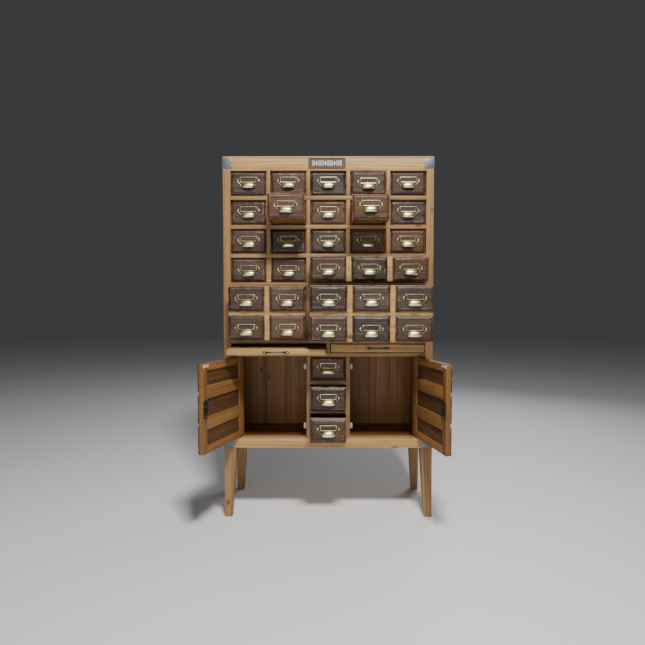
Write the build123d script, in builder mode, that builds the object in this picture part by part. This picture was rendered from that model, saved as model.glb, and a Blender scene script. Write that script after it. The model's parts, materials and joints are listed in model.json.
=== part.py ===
from build123d import *
import os

os.makedirs("parts", exist_ok=True)

# Apothecary cabinet: a pine carcass on tapered legs, with small, wide and deep drawers,
# two pull-out slides, a middle column of drawers and two doors.
# Origin on the floor under the middle of the carcass, +X to the right, +Z up, front towards -Y.
# Every moving piece stands where it rests: some drawers, one slide and both doors are part open.

# --- driving dimensions, mm ---------------------------------------------------------------
WIDTH = 1000.0
DEPTH = 390.0
SIDE = 35.5             # side thickness, seen from the front as the outer stile
BOARD = 18.5            # shelves, dividers and partitions
LEG_HEIGHT = 338.0
LEG_TOP = 56.0          # square section under the carcass
LEG_FOOT = 35.0         # square section at the floor
BASE_RAIL = 46.0        # height of the rail under the doors
BASE_RAIL_DEPTH = 50.0
CUPBOARD_HEIGHT = 395.0
SLIDE_BAY = 44.0        # height of the opening of the pull-out slides
DEEP_OPENING = 254.5
CELL_HEIGHT = 118.0     # opening of a small drawer
TOP_RAIL = 58.5
TOP_BOARD = 9.0
BACK_BOARD = 12.0
COLUMNS = 5
SMALL_ROWS = 3
GLUE = 0.1              # joint line between boards of one piece

# drawers
GAP = 1.5               # all round a front in its opening
FIELD_BACK = 4.0        # raised field, behind the front plane when closed
BEVEL_DEPTH = 9.0
BEVEL_WIDTH = 13.0
SMALL_FRONT_EDGE = 9.0  # thickness left at the edge of a small drawer's front
FALSE_FRONT_EDGE = 5.0  # the same on a front that is planted on a wider board
BASE_FRONT = 12.0       # board that carries the planted fronts
FRONT_STRIP = 15.5      # strip of that board between two rows of planted fronts
BOX_END = 352.0         # back of a drawer box, behind the front plane when closed
TRAVEL = 280.0          # from closed to its furthest
BOTTOM_RISE = 6.0       # drawer bottom above the lower edge of its sides

# card-frame pull
PULL_EAR = 54.5         # half the width over the screw ears
PULL_TOP = 24.25        # above the pull's centre, where its screws are
PULL_LOW = -30.0        # straight lip of the cup
PULL_PLATE = 1.5
WINDOW = (69.0, 19.0)
WINDOW_RISE = 9.25
CUP = (33.0, 17.0)      # the cup is part of a round-ended bar: half its length, and its radius
CUP_MIDDLE = -20.5      # its axis, from the pull's centre
PULL_RISE_HIGH = 9.0    # pulls sit above their fronts' centres by less and less, from the rail down
PULL_RISE_LOW = -6.0    # to the foot of the deep drawers
PULL_RISE = 4.0         # on the cupboard's small drawers and doors
PULL_DROP = {"drawer_r1c4": 8.0, "drawer_r2c2": 7.0}    # two that sit lower than their rows

# doors, closed, measured behind the front plane
PIVOT_X = 432.0
PIVOT_BACK = 22.0
PIN_RADIUS = 4.0
PIN_CLEARANCE = 0.05
PIN_REACH = 12.0
DOOR_FREE_GAP = 3.5
DOOR_HINGE_GAP = 3.5
DOOR_INNER = 34.0       # inner face
DOOR_FRAME = 21.0
DOOR_FIELD = 2.0        # raised fields of the planted fronts
DOOR_HINGE_STILE = 43.0
DOOR_FREE_STILE = 34.0
DOOR_RAILS = (34.0, 56.0, 57.0, 32.0)    # from the bottom up
DOOR_PANELS = (69.0, 77.0, 64.0)         # clear heights between those rails
DOOR_PANEL = 15.0
OPEN_LEFT = 110.0       # degrees from closed, at rest
OPEN_RIGHT = 103.0

# --- levels and places worked out from them ------------------------------------------------
FRONT = -DEPTH / 2
CARCASS_BACK = DEPTH / 2
INNER_BACK = CARCASS_BACK - BACK_BOARD
INNER_X = WIDTH / 2 - SIDE
CELL_WIDTH = (2 * INNER_X - (COLUMNS - 1) * BOARD) / COLUMNS
COLUMN_PITCH = CELL_WIDTH + BOARD
ROW_PITCH = CELL_HEIGHT + BOARD
CUPBOARD_LOW = LEG_HEIGHT + BASE_RAIL
CUPBOARD_HIGH = CUPBOARD_LOW + CUPBOARD_HEIGHT
BAY_LOW = CUPBOARD_HIGH + BOARD
BAY_HIGH = BAY_LOW + SLIDE_BAY
DEEP_LOW = BAY_HIGH + BOARD
DEEP_HIGH = DEEP_LOW + DEEP_OPENING
ROW4_LOW = DEEP_HIGH + BOARD
RAIL_LOW = ROW4_LOW + CELL_HEIGHT + SMALL_ROWS * ROW_PITCH
RAIL_HIGH = RAIL_LOW + TOP_RAIL
HEIGHT = RAIL_HIGH + TOP_BOARD
FLOOR_HIGH = CUPBOARD_LOW - BOARD        # cupboard floor, one board below the rail's top
PARTITION_IN = CELL_WIDTH / 2            # faces of the two partitions, from the middle
PARTITION_OUT = PARTITION_IN + BOARD
CENTRE_HEIGHTS = (121.0, 121.0, 116.0)   # openings of the middle column, from the bottom up


def column(index):
    """Left and right limits of a column of small drawers, counted from the left."""
    left = -INNER_X + index * COLUMN_PITCH
    return left, left + CELL_WIDTH


def behind(depth):
    """Y at a depth behind the front plane."""
    return FRONT + depth


def front_plane(x, y, z):
    """Plane whose sketches face the front: local x is +X, local y is +Z, out is -Y."""
    return Plane(origin=(x, y, z), x_dir=(1, 0, 0), z_dir=(0, -1, 0))


def board(x, y, z):
    """Adds a straight board between two limits on each axis."""
    middle = [(low + high) / 2 for low, high in (x, y, z)]
    with Locations(tuple(middle)):
        Box(abs(x[1] - x[0]), abs(y[1] - y[0]), abs(z[1] - z[0]))


def raised_front(x, z, back, edge, bevel=BEVEL_DEPTH):
    """Adds a front with a bevelled border round a raised field. back is Y of its rear face."""
    middle_x, middle_z = (x[0] + x[1]) / 2, (z[0] + z[1]) / 2
    width, height = abs(x[1] - x[0]), abs(z[1] - z[0])
    with BuildSketch(front_plane(middle_x, back, middle_z)) as outline:
        Rectangle(width, height)
    extrude(outline.sketch, amount=edge)
    with BuildSketch(front_plane(middle_x, back - edge, middle_z)) as bevel_foot:
        Rectangle(width, height)
    with BuildSketch(front_plane(middle_x, back - edge - bevel, middle_z)) as field:
        Rectangle(width - 2 * BEVEL_WIDTH, height - 2 * BEVEL_WIDTH)
    loft([bevel_foot.sketch, field.sketch])


def drawer_box(x, z, start, end, height, side, bottom):
    """Adds a drawer's two sides, back and bottom behind its front, each a separate board."""
    floor = z + BOTTOM_RISE
    inner = (x[0] + side + GLUE, x[1] - side - GLUE)
    board((x[0], x[0] + side), (start, end), (z, z + height))
    board((x[1] - side, x[1]), (start, end), (z, z + height))
    board(inner, (end - side, end), (z, z + height))
    board(inner, (start, end - side - GLUE), (floor, floor + bottom))


def pull(x, y, z):
    """Adds a card-frame pull whose back lies on the plane y, centred on x and z."""
    half_outline = [(0, PULL_TOP), (40, PULL_TOP), (45, 12), (PULL_EAR, 9), (PULL_EAR, 0),
                    (45, -4), (36, -17), (32, PULL_LOW), (0, PULL_LOW)]
    with BuildSketch(front_plane(x, y, z)) as plate:
        with BuildLine():
            Polyline(*half_outline)
            mirror(about=Plane.YZ)
        make_face()
        with Locations((0, WINDOW_RISE)):
            Rectangle(*WINDOW, mode=Mode.SUBTRACT)
    extrude(plate.sketch, amount=PULL_PLATE)
    half, radius = CUP
    ends = half - radius
    for size, mode in ((radius, Mode.ADD), (radius - PULL_PLATE, Mode.SUBTRACT)):
        with Locations((x, y, z + CUP_MIDDLE)):
            Cylinder(size, 2 * ends, rotation=(0, 90, 0), mode=mode)
        with Locations((x - ends, y, z + CUP_MIDDLE), (x + ends, y, z + CUP_MIDDLE)):
            Sphere(size, mode=mode)
    with Locations((x, y + radius, z + CUP_MIDDLE)):
        Box(3 * half, 2 * radius, 3 * radius, mode=Mode.SUBTRACT)
    with Locations((x, y - radius, z + PULL_LOW - radius)):
        Box(3 * half, 2 * radius, 2 * radius, mode=Mode.SUBTRACT)


def write(part, name):
    """Labels a finished piece and writes it to its own file."""
    part.label = name
    export_step(part, f"parts/{name}.step")


# --- drawers ----------------------------------------------------------------------------------
# name: (left, right, bottom, top) of the opening, and how far the drawer stands out at rest
SMALL_OUT = {(1, 3): 12.0, (2, 1): 165.0, (2, 3): 142.0}    # rows count from 1, columns from 0
SMALL_DRAWERS = {}
for row in range(1, SMALL_ROWS + 1):
    low = RAIL_LOW - CELL_HEIGHT - (row - 1) * ROW_PITCH
    for index in range(COLUMNS):
        left, right = column(index)
        out = SMALL_OUT.get((row, index), 0.0)
        SMALL_DRAWERS[f"drawer_r{row}c{index + 1}"] = (left, right, low, low + CELL_HEIGHT, out)

CENTRE_OUT = (103.0, 74.0, 0.0)
CENTRE_DRAWERS = {}
low = CUPBOARD_LOW
for name, height, out in zip(("bottom", "middle", "top"), CENTRE_HEIGHTS, CENTRE_OUT):
    CENTRE_DRAWERS[f"centre_drawer_{name}"] = (-PARTITION_IN, PARTITION_IN, low, low + height, out)
    low += height + BOARD

LEFT_WIDE = (column(0)[0], column(1)[1])
RIGHT_WIDE = (column(2)[0], column(4)[1])
# the last two numbers are the rows of planted fronts and the height of the box
WIDE_DRAWERS = {
    "wide_drawer_left": (*LEFT_WIDE, ROW4_LOW, ROW4_LOW + CELL_HEIGHT, 0.0, 1, 96.0),
    "wide_drawer_right": (*RIGHT_WIDE, ROW4_LOW, ROW4_LOW + CELL_HEIGHT, 85.0, 1, 96.0),
    "deep_drawer_left": (*LEFT_WIDE, DEEP_LOW, DEEP_HIGH, 88.0, 2, 200.0),
    "deep_drawer_right": (*RIGHT_WIDE, DEEP_LOW, DEEP_HIGH, 190.0, 2, 200.0),
}
SMALL_BOX = 96.0
SMALL_SIDE, SMALL_BOTTOM = 9.0, 4.0
WIDE_SIDE, WIDE_BOTTOM = 12.0, 6.0


def front_columns(left, right):
    """Limits of the planted fronts across a wide drawer, in line with the columns above."""
    inside = [column(index) for index in range(COLUMNS)]
    return [(low + GAP, high - GAP) for low, high in inside if left - 1 < low and high < right + 1]


def pull_rise(z):
    """How far a pull sits above its front's centre, in the part of the cabinet over the slides."""
    share = (z - DEEP_LOW) / (RAIL_LOW - DEEP_LOW)
    return PULL_RISE_LOW + share * (PULL_RISE_HIGH - PULL_RISE_LOW)


def single_drawer(name, left, right, low, high, out):
    """A small drawer: one bevelled front with its box, and its pull."""
    x, z = (left + GAP, right - GAP), (low + GAP, high - GAP)
    field = behind(FIELD_BACK) - out
    back = field + BEVEL_DEPTH + SMALL_FRONT_EDGE
    middle = (low + high) / 2
    rise = PULL_RISE if name in CENTRE_DRAWERS else pull_rise(middle) - PULL_DROP.get(name, 0)
    with BuildPart() as drawer:
        raised_front(x, z, back, SMALL_FRONT_EDGE)
        drawer_box(x, z[0], back + GLUE, behind(BOX_END) - out, SMALL_BOX, SMALL_SIDE, SMALL_BOTTOM)
    write(drawer.part, name)
    with BuildPart() as handle:
        pull((left + right) / 2, field, middle + rise)
    write(handle.part, f"{name}_pull")


def wide_drawer(name, left, right, low, high, out, rows, box_height):
    """A wide drawer: a plain front board that carries planted fronts, its box, and its pulls."""
    x, z = (left + GAP, right - GAP), (low + GAP, high - GAP)
    field = behind(FIELD_BACK) - out
    planted_back = field + BEVEL_DEPTH + FALSE_FRONT_EDGE
    front_height = (z[1] - z[0] - (rows - 1) * FRONT_STRIP) / rows
    places = []
    for row in range(rows):
        bottom = z[0] + row * (front_height + FRONT_STRIP)
        for span in front_columns(left, right):
            places.append((span, (bottom, bottom + front_height)))
    with BuildPart() as drawer:
        board(x, (planted_back + GLUE, planted_back + BASE_FRONT), z)
        for span, rise in places:
            raised_front(span, rise, planted_back, FALSE_FRONT_EDGE)
        start = planted_back + BASE_FRONT + GLUE
        drawer_box(x, z[0], start, behind(BOX_END) - out, box_height, WIDE_SIDE, WIDE_BOTTOM)
    write(drawer.part, name)
    with BuildPart() as handles:
        for span, rise in places:
            middle = sum(rise) / 2
            pull(sum(span) / 2, field, middle + pull_rise(middle))
    write(handles.part, f"{name}_pulls")


for name, place in (SMALL_DRAWERS | CENTRE_DRAWERS).items():
    single_drawer(name, *place)
for name, place in WIDE_DRAWERS.items():
    wide_drawer(name, *place)

# --- pull-out slides --------------------------------------------------------------------------
SLIDE_THICK = 27.0
SLIDE_LIP = 38.0        # taller front edge of the right slide
SLIDE_LIP_THICK = 20.0
SLIDE_SIDE_GAP = 3.0
SLIDE_LENGTH = 345.0
SLIDE_BACK = 2.0        # front face behind the front plane when closed
SLIDE_OUT = 147.0
BOW_SPAN = 96.0         # between the feet's screws
BOW_RISE = 26.0
BOW_THICK = 4.0
BOW_WIDE = 8.0
BOW_FOOT = (24.0, 14.0)
BAY_MIDDLE = BOARD / 2  # half the divider between the two slides
SLIDES = {
    "slide_left": (-INNER_X, -BAY_MIDDLE, SLIDE_OUT, SLIDE_THICK),
    "slide_right": (BAY_MIDDLE, INNER_X, 0.0, SLIDE_LIP),
}


def bow_handle(x, y, z):
    """Adds a bow handle with two flat oval feet on the plane y, centred on x and z."""
    half = BOW_SPAN / 2
    inner = half - BOW_THICK
    low_plane = Plane(origin=(x, y, z - BOW_WIDE / 2), x_dir=(1, 0, 0), z_dir=(0, 0, 1))
    with BuildSketch(low_plane) as bow:
        with BuildLine():
            ThreePointArc((-half, 0), (0, -BOW_RISE), (half, 0))
            Line((half, 0), (inner, 0))
            ThreePointArc((inner, 0), (0, BOW_THICK - BOW_RISE), (-inner, 0))
            Line((-inner, 0), (-half, 0))
        make_face()
    extrude(bow.sketch, amount=BOW_WIDE)
    with BuildSketch(front_plane(x, y, z)) as feet:
        with Locations((-half, 0), (half, 0)):
            Ellipse(BOW_FOOT[0] / 2, BOW_FOOT[1] / 2)
    extrude(feet.sketch, amount=BOW_THICK / 2)


for name, (left, right, out, lip) in SLIDES.items():
    x = (left + SLIDE_SIDE_GAP, right - SLIDE_SIDE_GAP)
    face = behind(SLIDE_BACK) - out
    low = BAY_LOW + GAP
    with BuildPart() as slide:
        board(x, (face, face + SLIDE_LIP_THICK), (low, low + lip))
        board(x, (face + SLIDE_LIP_THICK - GLUE, face + SLIDE_LENGTH), (low, low + SLIDE_THICK))
    write(slide.part, name)
    with BuildPart() as handle:
        bow_handle(sum(x) / 2, face, low + lip / 2)
    write(handle.part, f"{name}_handle")

# --- doors ------------------------------------------------------------------------------------
# Each door is made closed, about its pivot line, and is then swung to its rest angle.
# n is measured outwards from the pivot line, across the door's thickness.
DOOR_LOW = CUPBOARD_LOW + 3.0
DOOR_HEIGHT = sum(DOOR_RAILS) + sum(DOOR_PANELS)
DOOR_HINGE_EDGE = INNER_X - DOOR_HINGE_GAP - PIVOT_X      # from the pivot line outwards
DOOR_FREE_EDGE = PIVOT_X - PARTITION_OUT - DOOR_FREE_GAP  # from the pivot line inwards
PLANTED_ROWS = 3
PLANTED_HINGE_INSET = 4.0
PLANTED_FREE_INSET = 2.0
PLANTED_STRIP_X = 18.0
PLANTED_STRIP_Z = 17.0
DOOR_BEVEL = 5.0
DOOR_PULL_SHIFT = 9.0   # pulls sit this much nearer the free edge than the fronts' middles
STRIKE = (42.0, 14.0, 1.5)
LOCK_PLATE = (28.0, 78.0, 5.0)


def spread(low, high, count, strip):
    """Limits of equal pieces that fill a length, with a strip between each two."""
    size = (high - low - (count - 1) * strip) / count
    return [(low + i * (size + strip), low + i * (size + strip) + size) for i in range(count)]


def door(side, name, angle):
    """Wood, pulls and inner plates of one door. side is -1 for the left door, +1 for the right."""
    hinge, free = side * DOOR_HINGE_EDGE, -side * DOOR_FREE_EDGE
    inner = DOOR_INNER - PIVOT_BACK
    outer = inner - DOOR_FRAME
    stile_in = hinge - side * DOOR_HINGE_STILE
    free_in = free + side * DOOR_FREE_STILE
    across = sorted((hinge - side * PLANTED_HINGE_INSET, free + side * PLANTED_FREE_INSET))
    columns = spread(*across, 2, PLANTED_STRIP_X)
    rows = spread(DOOR_LOW + PLANTED_FREE_INSET, DOOR_LOW + DOOR_HEIGHT - PLANTED_FREE_INSET,
                  PLANTED_ROWS, PLANTED_STRIP_Z)
    planted_back = outer - GLUE
    field = DOOR_FIELD - PIVOT_BACK
    edge = planted_back - field - DOOR_BEVEL
    panel_x = sorted((stile_in - side * GLUE, free_in + side * GLUE))
    with BuildPart() as leaf:
        for stile in ((hinge, stile_in), (free, free_in)):
            board(sorted(stile), (outer, inner), (DOOR_LOW, DOOR_LOW + DOOR_HEIGHT))
        low = DOOR_LOW
        for rail, panel in zip(DOOR_RAILS, (*DOOR_PANELS, 0.0)):
            board(panel_x, (outer, inner), (low, low + rail))
            if panel:
                rise = (low + rail + GLUE, low + rail + panel - GLUE)
                board(panel_x, (outer, outer + DOOR_PANEL), rise)
            low += rail + panel
        for across in columns:
            for rise in rows:
                raised_front(across, rise, planted_back, edge, DOOR_BEVEL)
        for end in (DOOR_LOW, DOOR_LOW + DOOR_HEIGHT):
            with Locations((0, 0, end)):
                Cylinder(PIN_RADIUS + PIN_CLEARANCE, 2 * PIN_REACH, mode=Mode.SUBTRACT)
    with BuildPart() as handles:
        for across in columns:
            for rise in rows:
                pull(sum(across) / 2 - side * DOOR_PULL_SHIFT, field, sum(rise) / 2 + PULL_RISE)
    strike_x = (free + side * 3, free + side * (3 + STRIKE[0]))
    strike_z = (DOOR_LOW + DOOR_HEIGHT - 4 - STRIKE[1], DOOR_LOW + DOOR_HEIGHT - 4)
    lock_x = free + side * DOOR_FREE_STILE / 2
    with BuildPart() as plates:
        board(strike_x, (inner, inner + STRIKE[2]), strike_z)
        with BuildSketch(front_plane(lock_x, inner + LOCK_PLATE[2], DOOR_LOW + DOOR_HEIGHT / 2)):
            SlotOverall(LOCK_PLATE[1], LOCK_PLATE[0], rotation=90)
        extrude(amount=LOCK_PLATE[2])
    swung = Location((side * PIVOT_X, behind(PIVOT_BACK), 0), (0, 0, side * angle))
    with BuildPart() as placed_leaf:
        with Locations(swung):
            add(leaf.part)
    write(placed_leaf.part, name)
    with BuildPart() as placed_fittings:
        with Locations(swung):
            add(handles.part)
            add(plates.part)
    write(placed_fittings.part, f"{name}_fittings")


door(-1, "door_left", OPEN_LEFT)
door(1, "door_right", OPEN_RIGHT)

# --- carcass ----------------------------------------------------------------------------------
SIDE_FRAME = 60.0       # frame left round the shallow sunk panel on each side's outer face
SIDE_SUNK = 6.0
GROOVES = 7
GROOVE = 3.0

with BuildPart() as top_board:
    board((-WIDTH / 2, WIDTH / 2), (FRONT, CARCASS_BACK), (RAIL_HIGH, HEIGHT))
    board((-INNER_X, INNER_X), (FRONT, FRONT + BOARD), (RAIL_LOW, RAIL_HIGH - GLUE))
write(top_board.part, "top_board")

with BuildPart() as side_panels:
    for side in (-1, 1):
        board((side * (INNER_X + GLUE), side * WIDTH / 2), (FRONT, CARCASS_BACK),
              (LEG_HEIGHT, RAIL_HIGH - GLUE))
        outer_face = Plane(origin=(side * WIDTH / 2, 0, (LEG_HEIGHT + RAIL_HIGH) / 2),
                           x_dir=(0, 1, 0), z_dir=(side, 0, 0))
        with BuildSketch(outer_face):
            Rectangle(DEPTH - 2 * SIDE_FRAME, RAIL_HIGH - LEG_HEIGHT - 2 * SIDE_FRAME)
        extrude(amount=-SIDE_SUNK, mode=Mode.SUBTRACT)
write(side_panels.part, "side_panels")

SHELF_LOWS = [ROW4_LOW + CELL_HEIGHT + i * ROW_PITCH for i in range(SMALL_ROWS)]
SHELF_LOWS += [DEEP_HIGH, BAY_HIGH, CUPBOARD_HIGH]
shelf_y = (FRONT, INNER_BACK - GLUE)


def upright(x, low, high):
    """Adds a divider one board thick, centred on x, between two shelves."""
    board((x - BOARD / 2, x + BOARD / 2), shelf_y, (low + GLUE, high - GLUE))


with BuildPart() as drawer_grid:
    for low in SHELF_LOWS:
        board((-INNER_X, INNER_X), shelf_y, (low, low + BOARD))
    for row in range(SMALL_ROWS):
        low = RAIL_LOW - CELL_HEIGHT - row * ROW_PITCH
        for index in range(COLUMNS - 1):
            upright(column(index)[1] + BOARD / 2, low, low + CELL_HEIGHT)
    wide_divider = column(1)[1] + BOARD / 2
    upright(wide_divider, ROW4_LOW, ROW4_LOW + CELL_HEIGHT)
    upright(wide_divider, DEEP_LOW, DEEP_HIGH)
    upright(0, BAY_LOW, BAY_HIGH)
    for side in (-1, 1):
        board((side * PARTITION_IN, side * PARTITION_OUT), (behind(BASE_RAIL_DEPTH), shelf_y[1]),
              (FLOOR_HIGH + GLUE, CUPBOARD_HIGH - GLUE))
        board((side * PARTITION_IN, side * PARTITION_OUT), (FRONT, behind(BASE_RAIL_DEPTH) - GLUE),
              (CUPBOARD_LOW + GLUE, CUPBOARD_HIGH - GLUE))
    low = CUPBOARD_LOW
    runner = (-PARTITION_IN + GLUE, PARTITION_IN - GLUE)
    board(runner, (behind(BASE_RAIL_DEPTH) + GLUE, shelf_y[1]), (FLOOR_HIGH + GLUE, CUPBOARD_LOW))
    for height in CENTRE_HEIGHTS[:-1]:
        low += height
        board(runner, shelf_y, (low, low + BOARD))
        low += BOARD
write(drawer_grid.part, "drawer_grid")

with BuildPart() as base_frame:
    board((-INNER_X, INNER_X), (FRONT, behind(BASE_RAIL_DEPTH)), (LEG_HEIGHT, CUPBOARD_LOW))
    board((-INNER_X, INNER_X), (behind(BASE_RAIL_DEPTH) + GLUE, INNER_BACK - GLUE),
          (FLOOR_HIGH - BOARD, FLOOR_HIGH))
write(base_frame.part, "base_frame")

with BuildPart() as back_panel:
    board((-INNER_X, INNER_X), (INNER_BACK, CARCASS_BACK), (LEG_HEIGHT, RAIL_HIGH - GLUE))
    with GridLocations(2 * INNER_X / (GROOVES + 1), 1, GROOVES, 1):
        with Locations((0, INNER_BACK, (LEG_HEIGHT + RAIL_HIGH) / 2)):
            Box(GROOVE, GROOVE, RAIL_HIGH - LEG_HEIGHT, mode=Mode.SUBTRACT)
write(back_panel.part, "back_panel")

with BuildPart() as legs:
    for side in (-1, 1):
        for end in (-1, 1):
            for height, size in ((0, LEG_FOOT), (LEG_HEIGHT - GLUE, LEG_TOP)):
                with BuildSketch(Plane.XY.offset(height)):
                    with Locations((side * (WIDTH - size) / 2, end * (DEPTH - size) / 2)):
                        Rectangle(size, size)
            loft()
write(legs.part, "legs")

# --- fittings of the carcass: corner brackets, door catches, pivot pins, name plate -----------
BRACKET = (46.0, 48.0)
BRACKET_THICK = 1.5
NAIL_RADIUS = 3.0
NAIL_RISE = 1.5
PLATE = (175.0, 48.0, 3.0)
PLATE_X = -6.0
CATCH = (15.0, 15.0, 27.0)
CATCH_BACK = 37.0
CATCH_LEVELS = (436.0, 727.0)

with BuildPart() as carcass_fittings:
    for side in (-1, 1):
        corner = side * WIDTH / 2
        for low in (LEG_HEIGHT, RAIL_HIGH - BRACKET[1]):
            with BuildSketch(Plane.XY.offset(low)):
                with BuildLine():
                    Polyline((corner - side * BRACKET[0], FRONT), (corner, FRONT),
                             (corner, FRONT + BRACKET[0]),
                             (corner + side * BRACKET_THICK, FRONT + BRACKET[0]),
                             (corner + side * BRACKET_THICK, FRONT - BRACKET_THICK),
                             (corner - side * BRACKET[0], FRONT - BRACKET_THICK), close=True)
                make_face()
            extrude(amount=BRACKET[1])
            nail_x = corner - side * (BRACKET[0] - 2 * NAIL_RADIUS)
            for nail_z in (low + BRACKET[1] / 4, low + 3 * BRACKET[1] / 4):
                with BuildSketch(front_plane(nail_x, FRONT - BRACKET_THICK, nail_z)):
                    Circle(NAIL_RADIUS)
                extrude(amount=NAIL_RISE)
    for side in (-1, 1):
        x = (side * PARTITION_OUT, side * (PARTITION_OUT + CATCH[0]))
        for level in CATCH_LEVELS:
            board(x, (behind(CATCH_BACK), behind(CATCH_BACK + CATCH[1])),
                  (level - CATCH[2] / 2, level + CATCH[2] / 2))
        for low, high in ((CUPBOARD_LOW, DOOR_LOW + PIN_REACH - 1),
                          (DOOR_LOW + DOOR_HEIGHT - PIN_REACH + 1, CUPBOARD_HIGH)):
            with BuildSketch(Plane(origin=(side * PIVOT_X, behind(PIVOT_BACK), low))):
                Circle(PIN_RADIUS)
            extrude(amount=high - low)
write(carcass_fittings.part, "carcass_fittings")

with BuildPart() as name_plate:
    with BuildSketch(front_plane(PLATE_X, FRONT, RAIL_LOW + TOP_RAIL / 2 + 5)):
        RectangleRounded(PLATE[0], PLATE[1], 4)
    extrude(amount=PLATE[2])
    chamfer(name_plate.faces().sort_by(Axis.Y)[0].edges(), 1)
write(name_plate.part, "name_plate")
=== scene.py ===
import json
import math
import random

import bmesh
import bpy
import numpy as np
from mathutils import Matrix, Vector, noise


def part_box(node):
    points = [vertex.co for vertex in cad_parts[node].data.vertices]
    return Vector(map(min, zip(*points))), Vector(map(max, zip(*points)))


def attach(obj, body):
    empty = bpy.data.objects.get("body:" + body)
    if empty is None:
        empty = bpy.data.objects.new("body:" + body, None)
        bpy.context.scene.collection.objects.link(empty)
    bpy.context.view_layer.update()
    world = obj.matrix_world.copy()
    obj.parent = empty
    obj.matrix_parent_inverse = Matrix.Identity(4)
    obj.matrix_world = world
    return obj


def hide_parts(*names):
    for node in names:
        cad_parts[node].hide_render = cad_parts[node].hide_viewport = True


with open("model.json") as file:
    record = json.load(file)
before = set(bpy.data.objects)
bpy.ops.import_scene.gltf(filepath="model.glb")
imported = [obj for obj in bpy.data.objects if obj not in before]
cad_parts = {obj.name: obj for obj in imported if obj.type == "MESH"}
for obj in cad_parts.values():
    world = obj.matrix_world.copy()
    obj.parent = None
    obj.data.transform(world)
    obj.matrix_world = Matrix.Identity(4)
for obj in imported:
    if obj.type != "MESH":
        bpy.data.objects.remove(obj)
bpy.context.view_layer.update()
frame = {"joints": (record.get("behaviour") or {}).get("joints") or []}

# Apothecary cabinet in metres, in the row frame: +X right, +Z up, the front faces -Y.
draw = random.Random(7)
noise.seed_set(7)           # otherwise the clock seeds noise_vector, which warps the boards

# --- sizes shared by several pieces ---------------------------------------------------------
BOARD = 0.0185              # shelves, dividers and partitions
GAP = 0.0015                # round each front in its opening
EASE = 0.0012               # rounding of a board's edges
BEVEL_WIDTH = 0.013
BEVEL_DEPTH = 0.009
SMALL_EDGE = 0.009          # edge of a small drawer's front
PLANTED_EDGE = 0.005        # edge of a front planted on a wider board
BASE_FRONT = 0.0119         # the board that carries planted fronts
STRIP = 0.0155              # strip of it between two rows of planted fronts
JOINT = 0.0001              # glue line between boards
COLUMNS = 5


# --- geometry helpers -----------------------------------------------------------------------
class Solids:
    """Collects the boards of one piece, with the grain coordinates that its wood is cut by."""

    def __init__(self):
        self.verts, self.faces, self.grain, self.wear = [], [], [], []
        self.count = 0

    def add(self, verts, faces, grain, wear=None):
        verts = np.asarray(verts, float)
        self.verts.append(verts)
        self.faces += [tuple(int(i) + self.count for i in face) for face in faces]
        self.grain.append(np.asarray(grain, float))
        self.wear.append(np.zeros(len(verts)) if wear is None else np.asarray(wear, float))
        self.count += len(verts)

    def piece(self, name, material, body, slot, nodes, place=None):
        """Makes the mesh object, smooth shaded with sharp edges kept by angle."""
        verts = np.concatenate(self.verts)
        if place is not None:
            turn = np.array(place.to_3x3())
            verts = verts @ turn.T + np.array(place.translation)
        mesh = bpy.data.meshes.new(name)
        mesh.from_pydata(verts.tolist(), [], self.faces)
        for label, kind, values in (("grain", "FLOAT_VECTOR", np.concatenate(self.grain)),
                                    ("wear", "FLOAT", np.concatenate(self.wear))):
            layer = mesh.attributes.new(label, kind, "POINT")
            layer.data.foreach_set("vector" if kind == "FLOAT_VECTOR" else "value", values.ravel())
        return finish_mesh(mesh, name, material, body, nodes)


def finish_mesh(mesh, name, material, body, nodes, angle=32):
    """Cleans a mesh, shades it and hands the object to the frame."""
    work = bmesh.new()
    work.from_mesh(mesh)
    bmesh.ops.recalc_face_normals(work, faces=work.faces)
    work.to_mesh(mesh)
    work.free()
    mesh.polygons.foreach_set("use_smooth", [True] * len(mesh.polygons))
    mesh.set_sharp_from_angle(angle=math.radians(angle))
    mesh.materials.append(material)
    obj = bpy.data.objects.new(name, mesh)
    bpy.context.scene.collection.objects.link(obj)
    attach(obj, body)
    if nodes:
        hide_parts(*nodes)
    return obj


def steps(half, ease, cuts):
    """Grid lines across one side of an eased box."""
    soft = ease * 0.29
    inner = np.linspace(-half + ease, half - ease, cuts + 2)
    return np.concatenate([[-half, -half + soft], inner, [half - soft, half]])


def eased_box(size, ease=EASE, cuts=(0, 0, 0)):
    """Vertices and faces of a box with rounded edges, centred on the origin."""
    ease = min(ease, *(0.45 * s for s in size))
    lines = [steps(s / 2, ease, c) for s, c in zip(size, cuts)]
    index, verts, faces = {}, [], []

    def corner(i, j, k):
        if (i, j, k) not in index:
            p = np.array([lines[0][i], lines[1][j], lines[2][k]])
            core = np.clip(p, [-s / 2 + ease for s in size], [s / 2 - ease for s in size])
            out = p - core
            length = np.linalg.norm(out)
            index[i, j, k] = len(verts)
            verts.append(core + out * (ease / length) if length > 1e-9 else p)
        return index[i, j, k]

    n = [len(line) - 1 for line in lines]
    for axis in range(3):
        a, b = [other for other in range(3) if other != axis]
        for end in (0, n[axis]):
            for p in range(n[a]):
                for q in range(n[b]):
                    quad = []
                    for dp, dq in ((0, 0), (1, 0), (1, 1), (0, 1)):
                        at = [0, 0, 0]
                        at[axis], at[a], at[b] = end, p + dp, q + dq
                        quad.append(corner(*at))
                    faces.append(quad)
    return np.array(verts), faces


def grain_of(points, along):
    """Grain coordinates: along the fibres first, then across, moved to a random place in the log."""
    order = [along] + [axis for axis in range(3) if axis != along]
    pith = [draw.uniform(-4, 4), draw.uniform(0.02, 0.06) * draw.choice((-1, 1)), draw.uniform(-0.03, 0.03)]
    return points[:, order] + np.array(pith)


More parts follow.
